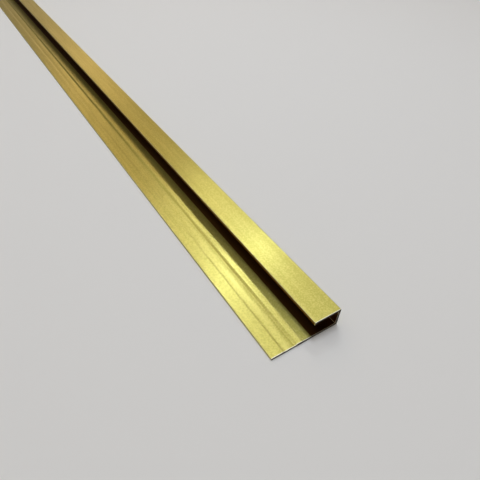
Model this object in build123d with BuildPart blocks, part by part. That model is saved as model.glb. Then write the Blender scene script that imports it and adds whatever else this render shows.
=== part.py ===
from build123d import *
import os

# Edge trim for wall boards, extruded in one piece from aluminium and lying on its back.
# A thin flange goes behind the board, and a raised cap on a side wall covers the
# board's cut edge, so the channel under the cap opens towards the flange.
# The origin is the middle of the underside. X runs across the section towards the
# cap, Y runs along the stock and Z is up. Sizes are in millimetres.

# Overall stock
stock_length = 3000.0
overall_width = 39.5
overall_height = 11.4

# Walls of the section
base_thickness = 1.2
side_thickness = 1.2
cap_thickness = 1.2
cap_width = 16.0

# Bead that hangs from the free edge of the cap and grips the board
bead_width = 1.7
bead_drop = 0.6

# Sunk band along the flange, measured from its outer edge: a soft step, a level stretch, then a
# round that falls to the foot of the rib, and a slope that leads up to it
band_start = 6.7
band_width = 8.3
step_width = 1.5
step_drop = 0.14
level_width = 1.8
round_drop = 0.22
riser_width = 1.4

# Low flat rib between the sunk band and the mouth of the channel
rib_width = 3.1
rib_rise = 0.2

# Radii left by the die
outer_radius = 0.35
inner_radius = 0.4
bead_radius = 0.25
rib_radius = 0.12
step_radius = 12.0
riser_radius = 0.5

# Break filed along the edges of both sawn ends
end_break = 0.08

# A round takes at most this share of the low wall that it ends on
largest_round = 0.45
# Corners closer in height than this count as level
same_height = 0.001

flange_edge = -overall_width / 2
side_face = overall_width / 2
cap_edge = side_face - cap_width
cap_underside = overall_height - cap_thickness
band_edge = flange_edge + band_start
rib_side = band_edge + band_width
rib_foot = rib_side - riser_width
step_bottom = base_thickness - step_drop
band_bottom = step_bottom - round_drop
rib_top = base_thickness + rib_rise
bead_bottom = cap_underside - bead_drop
bead_corner = min(bead_radius, bead_drop * largest_round)
rib_corner = min(rib_radius, rib_rise * largest_round)


def corners_at(sketch, height):
    """Gives the corners of the section that lie at one height above the underside."""
    return sketch.vertices().filter_by_position(Axis.Y, height - same_height, height + same_height)


with BuildPart() as edge_trim_profile:
    with BuildSketch(Plane.XZ) as section:
        # Back plate, which is the flange and the floor of the channel
        with Locations((flange_edge, 0)):
            Rectangle(overall_width, base_thickness, align=(Align.MIN, Align.MIN))
        # Side wall and cap
        with Locations((side_face, 0)):
            Rectangle(side_thickness, overall_height, align=(Align.MAX, Align.MIN))
        with Locations((side_face, overall_height)):
            Rectangle(cap_width, cap_thickness, align=(Align.MAX, Align.MAX))
        # Bead under the free edge of the cap
        with Locations((cap_edge, overall_height)):
            Rectangle(bead_width, cap_thickness + bead_drop, align=(Align.MIN, Align.MAX))
        # Low rib on the flange, with the width that its slope is cut from
        with Locations((rib_foot, 0)):
            Rectangle(riser_width + rib_width, rib_top, align=(Align.MIN, Align.MIN))
        # Sunk band, cut from the top of the step to the slope up to the rib
        with BuildLine():
            step = Line((band_edge, base_thickness), (band_edge + step_width, step_bottom))
            level = Line(step @ 1, (band_edge + step_width + level_width, step_bottom))
            fall = TangentArc(level @ 1, (rib_foot, band_bottom), tangent=level % 1)
            riser = Line(fall @ 1, (rib_side, rib_top))
            Polyline(riser @ 1, (rib_foot, rib_top), step @ 0)
        make_face(mode=Mode.SUBTRACT)

        # Each corner is rounded by the radius of its own kind, found by its height
        fillet(corners_at(section, overall_height), outer_radius)
        fillet(corners_at(section, 0), outer_radius)
        fillet(corners_at(section, base_thickness).sort_by(Axis.X)[0], outer_radius)
        fillet(corners_at(section, base_thickness).sort_by(Axis.X)[-1], inner_radius)
        fillet(corners_at(section, cap_underside).sort_by(Axis.X)[-1], inner_radius)
        fillet(corners_at(section, cap_underside).sort_by(Axis.X)[0], bead_corner)
        fillet(corners_at(section, bead_bottom), bead_corner)
        fillet(corners_at(section, rib_top).sort_by(Axis.X)[0], riser_radius)
        fillet(corners_at(section, band_bottom), riser_radius)
        fillet(corners_at(section, rib_top).sort_by(Axis.X)[-1], rib_corner)
        fillet(corners_at(section, base_thickness).sort_by(Axis.X)[1], step_radius)
        fillet(corners_at(section, step_bottom).sort_by(Axis.X)[0], step_radius)
    extrude(amount=stock_length / 2 - end_break, both=True)
    # Both ends taper over the last short length, so that their edges are broken
    for end in edge_trim_profile.faces().filter_by(Axis.Y):
        extrude(end, amount=end_break, taper=45)

edge_trim_profile.part.label = "edge_trim_profile"

os.makedirs("parts", exist_ok=True)
export_step(edge_trim_profile.part, "parts/edge_trim_profile.step")
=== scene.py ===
import math

import bpy
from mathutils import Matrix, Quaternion, Vector


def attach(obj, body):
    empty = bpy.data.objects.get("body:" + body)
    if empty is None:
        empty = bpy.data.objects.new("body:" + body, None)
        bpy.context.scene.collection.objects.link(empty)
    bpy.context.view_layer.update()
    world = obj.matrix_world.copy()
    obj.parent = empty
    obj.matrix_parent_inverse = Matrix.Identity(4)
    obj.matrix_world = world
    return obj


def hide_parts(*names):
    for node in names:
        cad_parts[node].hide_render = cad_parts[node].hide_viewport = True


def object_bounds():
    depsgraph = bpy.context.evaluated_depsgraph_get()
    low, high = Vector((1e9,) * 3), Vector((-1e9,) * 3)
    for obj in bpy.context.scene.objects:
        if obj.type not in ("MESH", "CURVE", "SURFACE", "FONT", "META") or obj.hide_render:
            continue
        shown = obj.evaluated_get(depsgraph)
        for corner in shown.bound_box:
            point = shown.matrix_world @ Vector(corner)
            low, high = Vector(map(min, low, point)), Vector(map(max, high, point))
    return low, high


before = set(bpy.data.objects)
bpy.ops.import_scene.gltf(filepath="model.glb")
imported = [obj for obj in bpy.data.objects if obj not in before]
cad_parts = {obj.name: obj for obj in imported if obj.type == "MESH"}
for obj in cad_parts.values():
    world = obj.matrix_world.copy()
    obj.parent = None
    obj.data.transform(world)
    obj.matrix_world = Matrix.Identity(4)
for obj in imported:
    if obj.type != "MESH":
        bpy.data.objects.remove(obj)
cad_low, cad_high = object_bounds()

# Anodised finish of the long faces
# The aluminium is brushed along its length, etched and anodised in gold. That gives the eye a
# satin metal with fine lengthwise streaks, whose highlights spread across the brush lines.


def linear(hex_colour):
    """Turns an sRGB hex colour into the linear RGBA that a shader takes."""
    parts = [int(hex_colour[i:i + 2], 16) / 255 for i in (1, 3, 5)]
    bright = [((c + 0.055) / 1.055) ** 2.4 if c > 0.04045 else c / 12.92 for c in parts]
    return (*bright, 1.0)


def add_node(tree, kind, settings=None, values=None, links=None):
    """Adds a node with its settings, the values of its inputs, and the links into its inputs."""
    node = tree.nodes.new(kind)
    for name, setting in (settings or {}).items():
        setattr(node, name, setting)
    for name, value in (values or {}).items():
        node.inputs[name].default_value = value
    for name, output in (links or {}).items():
        tree.links.new(output, node.inputs[name])
    return node


# The two inputs and the output of a Mix node that mixes colours
MIX_FIRST, MIX_SECOND, MIX_COLOUR = 6, 7, 2

gold = linear("#DACE74")
gold_deep = linear("#C7BC5F")
# Pale tone of the painted highlight on the rounded edges and round the sawn ends
gold_edge_highlight = linear("#F7F2D8")
# Deep brown tone of the painted shade inside the channel
channel_shade_gold = linear("#7E5626")
# The streaks and the grain turn the film from its pale tone to its deep one between these sums
pale_sum = 1.7
deep_sum = 2.3
# The lines that the brush cuts are brighter than the etched ground between them. The heights are
# those of the brush noise at the bottom of a line and on the ground.
polished_roughness = 0.3
etched_roughness = 0.38
cut_height = 0.35
ground_height = 0.65
brush_anisotropy = 0.75
# A brush line is typically about 0.1 mm wide. It is drawn coarser, so that it shows in the picture.
brush_line_width = 0.0004
brush_line_length = 0.03
brush_line_depth = 0.000004
# Faint bands from the die and the brush, a few millimetres wide and a forearm long
band_pitch = 0.0025
band_length = 0.45
# The etched grain is drawn coarser too
grain_size = 0.0008
grain_depth = 0.000018
# A painted highlight makes the film pale on this last stretch before a sawn end, and on the rounded
# edges, where the largest part of the normal falls from the first value to the second
end_highlight_stretch = 0.0005
flat_normal = 0.91
edge_normal = 0.8
most_highlight = 0.9
# The cap reaches this far from the side face to the mouth of the channel, and all walls are alike
cap_width = 0.016
wall = 0.0012
section_map = "section_map"

anodised = bpy.data.materials.new("brushed_gold_anodised_aluminium")
anodised.use_nodes = True
tree = anodised.node_tree
tree.nodes.clear()
place = add_node(tree, "ShaderNodeTexCoord")


def share_between(value, start, end, most=1.0):
    """Adds a node that rises from nothing to the most as a value runs from start to end."""
    node = add_node(
        tree, "ShaderNodeMapRange",
        values={"From Min": start, "From Max": end, "To Max": most}, links={"Value": value},
    )
    return node.outputs["Result"]


def combine(operation, first, second):
    """Adds a maths node on two outputs of other nodes."""
    node = add_node(tree, "ShaderNodeMath", {"operation": operation}, links={0: first, 1: second})
    return node.outputs["Value"]


line_place = add_node(
    tree, "ShaderNodeMapping",
    values={"Scale": (1 / brush_line_width, 1 / brush_line_length, 1 / brush_line_width)},
    links={"Vector": place.outputs["Object"]},
)
brush_lines = add_node(
    tree, "ShaderNodeTexNoise",
    values={"Scale": 1.0, "Detail": 2.0},
    links={"Vector": line_place.outputs["Vector"]},
)
band_place = add_node(
    tree, "ShaderNodeMapping",
    values={"Scale": (1 / band_pitch, 1 / band_length, 1 / band_pitch)},
    links={"Vector": place.outputs["Object"]},
)
bands = add_node(
    tree, "ShaderNodeTexNoise",
    values={"Scale": 1.0, "Detail": 2.0},
    links={"Vector": band_place.outputs["Vector"]},
)
grain = add_node(
    tree, "ShaderNodeTexNoise",
    values={"Scale": 1 / grain_size, "Detail": 1.0},
    links={"Vector": place.outputs["Object"]},
)
streaks = combine("ADD", bands.outputs["Fac"], brush_lines.outputs["Fac"])
twice_grain = combine("ADD", grain.outputs["Fac"], grain.outputs["Fac"])
streaks_and_grain = combine("ADD", streaks, twice_grain)
tone = add_node(
    tree, "ShaderNodeMix", {"data_type": "RGBA"},
    values={MIX_FIRST: gold, MIX_SECOND: gold_deep},
    links={"Factor": share_between(streaks_and_grain, pale_sum, deep_sum)},
)
# The film inside the channel is drawn deeper and browner as painted shade, because the photograph
# shows the channel nearly black. Whether the real film is deeper there isn't known.
spot = add_node(tree, "ShaderNodeSeparateXYZ", links={"Vector": place.outputs["Object"]})
mouth = cad_high.x - cap_width
past_mouth = share_between(spot.outputs["X"], mouth - wall / 2, mouth)
before_wall = share_between(spot.outputs["X"], cad_high.x - wall / 2, cad_high.x - wall)
under_cap = share_between(spot.outputs["Z"], cad_high.z, cad_high.z - wall / 2)
above_base = share_between(spot.outputs["Z"], cad_low.z + wall / 2, cad_low.z + wall)
inside = combine(
    "MULTIPLY",
    combine("MULTIPLY", past_mouth, before_wall),
    combine("MULTIPLY", under_cap, above_base),
)
shaded_tone = add_node(
    tree, "ShaderNodeMix", {"data_type": "RGBA"},
    values={MIX_SECOND: channel_shade_gold},
    links={"Factor": inside, MIX_FIRST: tone.outputs[MIX_COLOUR]},
)
# A painted highlight makes the film pale on the rounded edges, where the normal leaves all three
# axes, and round the sawn ends
facing = add_node(
    tree, "ShaderNodeVectorMath", {"operation": "ABSOLUTE"},
    links={0: place.outputs["Normal"]},
)
facing_parts = add_node(tree, "ShaderNodeSeparateXYZ", links={"Vector": facing.outputs["Vector"]})
facing_side = combine("MAXIMUM", facing_parts.outputs["X"], facing_parts.outputs["Z"])
from_middle = add_node(
    tree, "ShaderNodeMath", {"operation": "ABSOLUTE"}, links={0: spot.outputs["Y"]},
)
near_end_highlight_share = share_between(
    from_middle.outputs["Value"],
    cad_high.y - end_highlight_stretch, cad_high.y - end_highlight_stretch / 2, most_highlight,
)
round_edge_highlight_share = share_between(facing_side, flat_normal, edge_normal, most_highlight)
edge_highlight_share = combine("MAXIMUM", round_edge_highlight_share, near_end_highlight_share)
highlighted_tone = add_node(
    tree, "ShaderNodeMix", {"data_type": "RGBA"},
    values={MIX_SECOND: gold_edge_highlight},
    links={"Factor": edge_highlight_share, MIX_FIRST: shaded_tone.outputs[MIX_COLOUR]},
)
gold_gloss = add_node(
    tree, "ShaderNodeMapRange",
    values={
        "From Min": cut_height, "From Max": ground_height,
        "To Min": polished_roughness, "To Max": etched_roughness,
    },
    links={"Value": brush_lines.outputs["Fac"]},
)
grain_relief = add_node(
    tree, "ShaderNodeBump",
    values={"Strength": 1.0, "Distance": grain_depth}, links={"Height": grain.outputs["Fac"]},
)
relief = add_node(
    tree, "ShaderNodeBump", values={"Strength": 1.0, "Distance": brush_line_depth},
    links={"Height": brush_lines.outputs["Fac"], "Normal": grain_relief.outputs["Normal"]},
)
across = add_node(tree, "ShaderNodeTangent", {"direction_type": "UV_MAP", "uv_map": section_map})
shader = add_node(
    tree, "ShaderNodeBsdfPrincipled",
    values={"Metallic": 1.0, "Anisotropic": brush_anisotropy},
    links={
        "Base Color": highlighted_tone.outputs[MIX_COLOUR],
        "Roughness": gold_gloss.outputs["Result"],
        "Normal": relief.outputs["Normal"],
        "Tangent": across.outputs["Tangent"],
    },
)
add_node(tree, "ShaderNodeOutputMaterial", links={"Surface": shader.outputs["BSDF"]})

# Sawn ends
# The stock is cut to length with a circular saw after anodising, and the burr is filed off. That
# gives the eye a dull face of bare metal with the curved marks of the blade.

# Bare sawn aluminium is pale grey. The tones are darker than that, as painted shade, to match the
# photograph.
sawn_tone_with_shade = linear("#3C3324")
saw_mark_tone_with_shade = linear("#2A2216")
sawn_roughness = 0.5
# Marks of the teeth are drawn coarser than a typical 0.2 mm, on arcs of the blade's radius
saw_mark_pitch = 0.0006
saw_mark_depth = 0.00002
blade_radius = 0.15
# A wave texture of scale 1 has rings this far apart
ring_pitch = math.pi / 10

sawn = bpy.data.materials.new("sawn_aluminium")
sawn.use_nodes = True
tree = sawn.node_tree
tree.nodes.clear()
place = add_node(tree, "ShaderNodeTexCoord")
blade_place = add_node(
    tree, "ShaderNodeMapping",
    values={"Location": (0.0, 0.0, -blade_radius)}, links={"Vector": place.outputs["Object"]},
)
saw_marks = add_node(
    tree, "ShaderNodeTexWave", {"wave_type": "RINGS", "rings_direction": "Y"},
    values={"Scale": ring_pitch / saw_mark_pitch, "Distortion": 2.0, "Detail": 2.0},
    links={"Vector": blade_place.outputs["Vector"]},
)
tone = add_node(
    tree, "ShaderNodeMix", {"data_type": "RGBA"},
    values={MIX_FIRST: sawn_tone_with_shade, MIX_SECOND: saw_mark_tone_with_shade},
    links={"Factor": saw_marks.outputs["Fac"]},
)
relief = add_node(
    tree, "ShaderNodeBump",
    values={"Strength": 1.0, "Distance": saw_mark_depth}, links={"Height": saw_marks.outputs["Fac"]},
)
shader = add_node(
    tree, "ShaderNodeBsdfPrincipled",
    values={"Metallic": 1.0, "Roughness": sawn_roughness},
    links={"Base Color": tone.outputs[MIX_COLOUR], "Normal": relief.outputs["Normal"]},
)
add_node(tree, "ShaderNodeOutputMaterial", links={"Surface": shader.outputs["BSDF"]})

# Extruded trim
# One length of aluminium pressed hot through a die, so that one section runs from end to end: a
# thin flange with a sunk band and a low rib, a side wall, and a cap over the board's channel.

flange_edge, side_face = cad_low.x, cad_high.x
underside, top = cad_low.z, cad_high.z
stock_length = cad_high.y - cad_low.y
bead_width = 0.0017
bead_drop = 0.0006
band_start = 0.0067
band_width = 0.0083
# The step down to the band ends in a groove that the eye sees as one fine dark line
step_width = 0.001
step_drop = 0.00014
groove_drop = 0.0002
level_width = 0.0023
round_drop = 0.00022
riser_width = 0.0014
rib_width = 0.0031
rib_rise = 0.0002
outer_radius = 0.00035
inner_radius = 0.0004
bead_radius = 0.00025
rib_radius = 0.00009
rib_foot_radius = 0.00008
step_edge_radius = 0.003
step_foot_radius = 0.006
riser_radius = 0.0005
fall_steps = 14
end_break = 0.00008
# Fine lines from the die are drawn coarser than a typical 0.05 mm
die_line_pitch = 0.0003
die_line_height = 0.000008
round_steps = 6
span_length = 0.05

floor_top = underside + wall
cap_edge = side_face - cap_width
cap_underside = top - wall
bead_bottom = cap_underside - bead_drop
bead_inside = cap_edge + bead_width
wall_inside = side_face - wall
band_edge = flange_edge + band_start
step_end = band_edge + step_width
step_bottom = floor_top - step_drop
level_end = step_end + level_width
rib_side = band_edge + band_width
rib_top = floor_top + rib_rise
rib_end = rib_side + rib_width


def falling_arc(width, drop, steps):
    """Gives the points of an arc that starts level and falls by a drop over its width."""
    radius = (width ** 2 + drop ** 2) / (2 * drop)
    turn = 2 * math.atan2(drop, width)
    angles = [turn * i / steps for i in range(steps + 1)]
    return [(radius * math.sin(t), -radius * (1 - math.cos(t))) for t in angles]


fall_width = rib_side - riser_width - level_end
fall = [
    (level_end + x, step_bottom + z) for x, z in falling_arc(fall_width, round_drop, fall_steps)
]
# The corners of the section and their radii, from the flange round to the underside
corners = [
    (flange_edge, underside, outer_radius),
    (flange_edge, floor_top, outer_radius),
    (band_edge, floor_top, step_edge_radius),
    (step_end, floor_top - groove_drop, step_foot_radius),
    *[(x, z, 0.0) for x, z in fall[:-1]],
    (*fall[-1], riser_radius),
    (rib_side, rib_top, riser_radius),
    (rib_end, rib_top, rib_radius),
    (rib_end, floor_top, rib_foot_radius),
    (wall_inside, floor_top, inner_radius),
    (wall_inside, cap_underside, inner_radius),
    (bead_inside, cap_underside, bead_radius),
    (bead_inside, bead_bottom, bead_radius),
    (cap_edge, bead_bottom, bead_radius),
    (cap_edge, top, outer_radius),
    (side_face, top, outer_radius),
    (side_face, underside, outer_radius),
]
outline_mesh = bpy.data.meshes.new("section_outline")
edges = [(i, (i + 1) % len(corners)) for i in range(len(corners))]
# The sweep stands a section's +Y on its head, so the outline is drawn upside down
outline_mesh.from_pydata([(x, -z, 0.0) for x, z, radius in corners], edges, [])
radii = outline_mesh.attributes.new("corner_radius", "FLOAT", "POINT")
radii.data.foreach_set("value", [radius for x, z, radius in corners])
outline = bpy.data.objects.new("section_outline", outline_mesh)
bpy.context.scene.collection.objects.link(outline)

sweep = bpy.data.node_groups.new("sweep_the_section", "GeometryNodeTree")
inputs = {}
for name, kind in (
    ("Section", "NodeSocketGeometry"),
    ("Length", "NodeSocketFloat"),
    ("Round Steps", "NodeSocketInt"),
    ("Span Length", "NodeSocketFloat"),
    ("Die Line Pitch", "NodeSocketFloat"),
    ("Die Line Height", "NodeSocketFloat"),
    ("Face Finish", "NodeSocketMaterial"),
    ("End Finish", "NodeSocketMaterial"),
):
    inputs[name] = sweep.interface.new_socket(name, in_out="INPUT", socket_type=kind).identifier
sweep.interface.new_socket("Trim", in_out="OUTPUT", socket_type="NodeSocketGeometry")
given = add_node(sweep, "NodeGroupInput").outputs
position = add_node(sweep, "GeometryNodeInputPosition").outputs["Position"]

# The outline becomes a closed line with rounded corners
line = add_node(sweep, "GeometryNodeMeshToCurve", links={"Mesh": given["Section"]})
radius = add_node(
    sweep, "GeometryNodeInputNamedAttribute", {"data_type": "FLOAT"}, {"Name": "corner_radius"},
)
rounded = add_node(
    sweep, "GeometryNodeFilletCurve", {"mode": "POLY"}, {"Limit Radius": True},
    {
        "Curve": line.outputs["Curve"],
        "Count": given["Round Steps"],
        "Radius": radius.outputs["Attribute"],
    },
)
# Flat stretches are divided to the pitch of the die lines
index = add_node(sweep, "GeometryNodeInputIndex")
next_point = add_node(
    sweep, "GeometryNodeOffsetPointInCurve",
    values={"Offset": 1}, links={"Point Index": index.outputs["Index"]},
)
next_position = add_node(
    sweep, "GeometryNodeFieldAtIndex", {"data_type": "FLOAT_VECTOR", "domain": "POINT"},
    links={"Value": position, "Index": next_point.outputs["Point Index"]},
)
stretch = add_node(
    sweep, "ShaderNodeVectorMath", {"operation": "DISTANCE"},
    links={0: position, 1: next_position.outputs["Value"]},
)
cuts = add_node(
    sweep, "ShaderNodeMath", {"operation": "DIVIDE"},
    links={0: stretch.outputs["Value"], 1: given["Die Line Pitch"]},
)
divided = add_node(
    sweep, "GeometryNodeSubdivideCurve",
    links={"Curve": rounded.outputs["Curve"], "Cuts": cuts.outputs["Value"]},
)
# Each point keeps how far round the section and how far along the stock it is
distance = add_node(sweep, "GeometryNodeSplineParameter").outputs["Length"]
section_line = add_node(
    sweep, "GeometryNodeStoreNamedAttribute", {"data_type": "FLOAT", "domain": "POINT"},
    {"Name": "round_section"}, {"Geometry": divided.outputs["Curve"], "Value": distance},
)
half_length = add_node(
    sweep, "ShaderNodeMath", {"operation": "DIVIDE"}, {1: 2.0}, {0: given["Length"]},
)
far_end = add_node(sweep, "ShaderNodeCombineXYZ", links={"Y": half_length.outputs["Value"]})
near_end = add_node(
    sweep, "ShaderNodeVectorMath", {"operation": "SCALE"},
    values={"Scale": -1.0}, links={0: far_end.outputs["Vector"]},
)
path = add_node(
    sweep, "GeometryNodeCurvePrimitiveLine",
    links={"Start": near_end.outputs["Vector"], "End": far_end.outputs["Vector"]},
)
spans = add_node(
    sweep, "GeometryNodeResampleCurve", {"mode": "LENGTH"},
    links={"Curve": path.outputs["Curve"], "Length": given["Span Length"]},
)
path_line = add_node(
    sweep, "GeometryNodeStoreNamedAttribute", {"data_type": "FLOAT", "domain": "POINT"},
    {"Name": "along_stock"}, {"Geometry": spans.outputs["Curve"], "Value": distance},
)
swept = add_node(
    sweep, "GeometryNodeCurveToMesh", values={"Fill Caps": True},
    links={"Curve": path_line.outputs["Geometry"], "Profile Curve": section_line.outputs["Geometry"]},
)
# The map's first axis runs round the section, which is the way across the brush lines
map_across = add_node(
    sweep, "GeometryNodeInputNamedAttribute", {"data_type": "FLOAT"}, {"Name": "round_section"},
)
map_along = add_node(
    sweep, "GeometryNodeInputNamedAttribute", {"data_type": "FLOAT"}, {"Name": "along_stock"},
)
map_place = add_node(
    sweep, "ShaderNodeCombineXYZ",
    links={"X": map_across.outputs["Attribute"], "Y": map_along.outputs["Attribute"]},
)
mapped = add_node(
    sweep, "GeometryNodeStoreNamedAttribute", {"data_type": "FLOAT2", "domain": "CORNER"},
    {"Name": section_map}, {"Geometry": swept.outputs["Mesh"], "Value": map_place.outputs["Vector"]},
)
# Die lines run the whole length, so their noise reads the section and not the length
line_spot = add_node(
    sweep, "ShaderNodeVectorMath", {"operation": "MULTIPLY"},
    values={1: (1.0, 0.0, 1.0)}, links={0: position},
)
line_scale = add_node(
    sweep, "ShaderNodeMath", {"operation": "DIVIDE"}, {0: 1.0}, {1: given["Die Line Pitch"]},
)
line_noise = add_node(
    sweep, "ShaderNodeTexNoise", values={"Detail": 1.0},
    links={"Vector": line_spot.outputs["Vector"], "Scale": line_scale.outputs["Value"]},
)
line_swing = add_node(
    sweep, "ShaderNodeMath", {"operation": "SUBTRACT"}, {1: 0.5}, {0: line_noise.outputs["Fac"]},
)
line_height = add_node(
    sweep, "ShaderNodeMath", {"operation": "MULTIPLY"},
    links={0: line_swing.outputs["Value"], 1: given["Die Line Height"]},
)
normal = add_node(sweep, "GeometryNodeInputNormal")
line_offset = add_node(
    sweep, "ShaderNodeVectorMath", {"operation": "SCALE"},
    links={0: normal.outputs["Normal"], "Scale": line_height.outputs["Value"]},
)
lined = add_node(
    sweep, "GeometryNodeSetPosition",
    links={"Geometry": mapped.outputs["Geometry"], "Offset": line_offset.outputs["Vector"]},
)
# The edges round both ends are marked for the file, and the end faces are found by their nearness to
# the ends
place_parts = add_node(sweep, "ShaderNodeSeparateXYZ", links={"Vector": position})
from_middle = add_node(
    sweep, "ShaderNodeMath", {"operation": "ABSOLUTE"}, links={0: place_parts.outputs["Y"]},
)
from_end = add_node(
    sweep, "ShaderNodeMath", {"operation": "SUBTRACT"},
    links={0: half_length.outputs["Value"], 1: from_middle.outputs["Value"]},
)
at_end = add_node(
    sweep, "ShaderNodeMath", {"operation": "LESS_THAN"},
    values={1: end_break}, links={0: from_end.outputs["Value"]},
)
marked = add_node(
    sweep, "GeometryNodeStoreNamedAttribute", {"data_type": "FLOAT", "domain": "EDGE"},
    {"Name": "bevel_weight_edge"},
    {"Geometry": lined.outputs["Geometry"], "Value": at_end.outputs["Value"]},
)
smooth = add_node(
    sweep, "GeometryNodeSetShadeSmooth", {"domain": "FACE"},
    links={"Geometry": marked.outputs["Geometry"]},
)
flat_ends = add_node(
    sweep, "GeometryNodeSetShadeSmooth", {"domain": "FACE"}, {"Shade Smooth": False},
    {"Geometry": smooth.outputs["Geometry"], "Selection": at_end.outputs["Value"]},
)
whole = add_node(
    sweep, "GeometryNodeRealizeInstances", links={"Geometry": flat_ends.outputs["Geometry"]},
)
finished = add_node(
    sweep, "GeometryNodeSetMaterial",
    links={"Geometry": whole.outputs["Geometry"], "Material": given["Face Finish"]},
)
finished_ends = add_node(
    sweep, "GeometryNodeSetMaterial",
    links={
        "Geometry": finished.outputs["Geometry"],
        "Selection": at_end.outputs["Value"],
        "Material": given["End Finish"],
    },
)
add_node(sweep, "NodeGroupOutput", links={"Trim": finished_ends.outputs["Geometry"]})

sweeping = outline.modifiers.new("sweep", "NODES")
sweeping.node_group = sweep
for name, value in (
    ("Length", stock_length),
    ("Round Steps", round_steps),
    ("Span Length", span_length),
    ("Die Line Pitch", die_line_pitch),
    ("Die Line Height", die_line_height),
    ("Face Finish", anodised),
    ("End Finish", sawn),
):
    sweeping[inputs[name]] = value
filing = outline.modifiers.new("filed_ends", "BEVEL")
filing.limit_method = "WEIGHT"
filing.width = end_break
filing.segments = 2
filing.use_clamp_overlap = False
shown = outline.evaluated_get(bpy.context.evaluated_depsgraph_get())
trim_mesh = bpy.data.meshes.new_from_object(shown)
bpy.data.objects.remove(outline)
trim_mesh.name = "anodised_trim"
trim = bpy.data.objects.new("anodised_trim", trim_mesh)
bpy.context.scene.collection.objects.link(trim)
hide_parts("edge_trim_profile")
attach(trim, "root")

# Studio
# A plain pale floor that the trim lies on, in a plain grey room with soft strip lamps that hang
# level and parallel to the stock. The mirror image of one makes the photograph's highlight.

floor_tone = linear("#EBE7E1")
floor_roughness = 0.8
floor_reach = 12.0
room_tone = linear("#7C756A")

floor_paint = bpy.data.materials.new("matt_pale_floor")
floor_paint.use_nodes = True
tree = floor_paint.node_tree
tree.nodes.clear()
shader = add_node(
    tree, "ShaderNodeBsdfPrincipled",
    values={"Roughness": floor_roughness, "Base Color": floor_tone},
)
add_node(tree, "ShaderNodeOutputMaterial", links={"Surface": shader.outputs["BSDF"]})
floor_mesh = bpy.data.meshes.new("floor")
floor_mesh.from_pydata(
    [(x, y, underside) for x, y in (
        (-floor_reach, -floor_reach), (floor_reach, -floor_reach),
        (floor_reach, floor_reach), (-floor_reach, floor_reach),
    )],
    [], [(0, 1, 2, 3)],
)
floor_mesh.materials.append(floor_paint)
floor = bpy.data.objects.new("floor", floor_mesh)
bpy.context.scene.collection.objects.link(floor)

world = bpy.data.worlds.new("studio")
world.use_nodes = True
tree = world.node_tree
tree.nodes.clear()
sky = add_node(tree, "ShaderNodeBackground", values={"Color": room_tone, "Strength": 1.0})
add_node(tree, "ShaderNodeOutputWorld", links={"Surface": sky.outputs["Background"]})
bpy.context.scene.world = world

# The end that the camera looks at, at the flange's outer corner
near_corner = Vector((flange_edge, cad_low.y, underside))
lamp_height = 1.5
plain_white = (1.0, 1.0, 1.0)
cool_white = (0.9, 1.0, 1.15)
warm_white = (1.0, 0.74, 0.5)


def strip_lamp(name, across, start, end, width, radiance, colour):
    """Hangs a level strip lamp parallel to the stock, at a place measured from the near corner."""
    length = end - start
    light = bpy.data.lights.new(name, "AREA")
    light.shape = "RECTANGLE"
    light.size = width
    light.size_y = length
    light.energy = radiance * math.pi * width * length
    light.color = colour
    lamp = bpy.data.objects.new(name, light)
    lamp.location = near_corner + Vector((across, (start + end) / 2, lamp_height))
    bpy.context.scene.collection.objects.link(lamp)


# Each lamp: its name, its place across, where it starts and ends along the stock, its width,
# its radiance and its colour. The radiances were fitted to the photograph's brightness on the trim.
for lamp_row in (
    ("near_glow_lamp", 0.95, 0.6, 0.85, 0.2, 2.6, plain_white),
    ("glow_lamp", 0.85, 0.85, 1.0, 0.2, 6.4, plain_white),
    ("highlight_lamp", 0.8, 1.1, 1.3, 0.2, 21.0, cool_white),
    ("near_sheen_lamp", 0.9, 1.3, 1.6, 0.2, 3.4, plain_white),
    ("sheen_lamp", 0.9, 1.6, 2.0, 0.2, 8.8, plain_white),
    ("long_sheen_lamp", 0.8, 2.0, 4.0, 0.4, 1.35, warm_white),
    ("side_sheen_lamp", -0.5, 1.0, 2.2, 0.4, 1.8, plain_white),
    ("overhead_lamp", 0.2, -0.2, 0.45, 0.4, 10.5, cool_white),
    ("long_overhead_lamp", 0.2, 0.45, 1.0, 0.3, 2.6, cool_white),
    ("low_lamp", 1.2, 4.0, 5.5, 0.6, 2.2, warm_white),
    ("far_low_lamp", 1.6, 7.0, 13.0, 0.6, 1.25, warm_white),
    ("left_lamp", -0.8, -0.5, 1.0, 0.4, 1.1, plain_white),
):
    strip_lamp(*lamp_row)

# The camera stands where the photograph's parallel edges and cut end put it
camera_place = near_corner + Vector((-0.0738, -0.0743, 0.1656))
camera_yaw = math.radians(35.22)
camera_pitch = math.radians(42.32)
camera_roll = math.radians(3.81)
ahead = Vector((
    math.sin(camera_yaw) * math.cos(camera_pitch),
    math.cos(camera_yaw) * math.cos(camera_pitch),
    -math.sin(camera_pitch),
))
lens = bpy.data.cameras.new("camera")
lens.sensor_width = 36.0
lens.lens = 31.5
lens.clip_start = 0.01
lens.clip_end = 50.0
camera = bpy.data.objects.new("camera", lens)
camera.location = camera_place
camera.rotation_mode = "QUATERNION"
camera.rotation_quaternion = ahead.to_track_quat("-Z", "Y") @ Quaternion((0, 0, 1), camera_roll)
bpy.context.scene.collection.objects.link(camera)
bpy.context.scene.camera = camera
bpy.context.scene.view_settings.view_transform = "Standard"
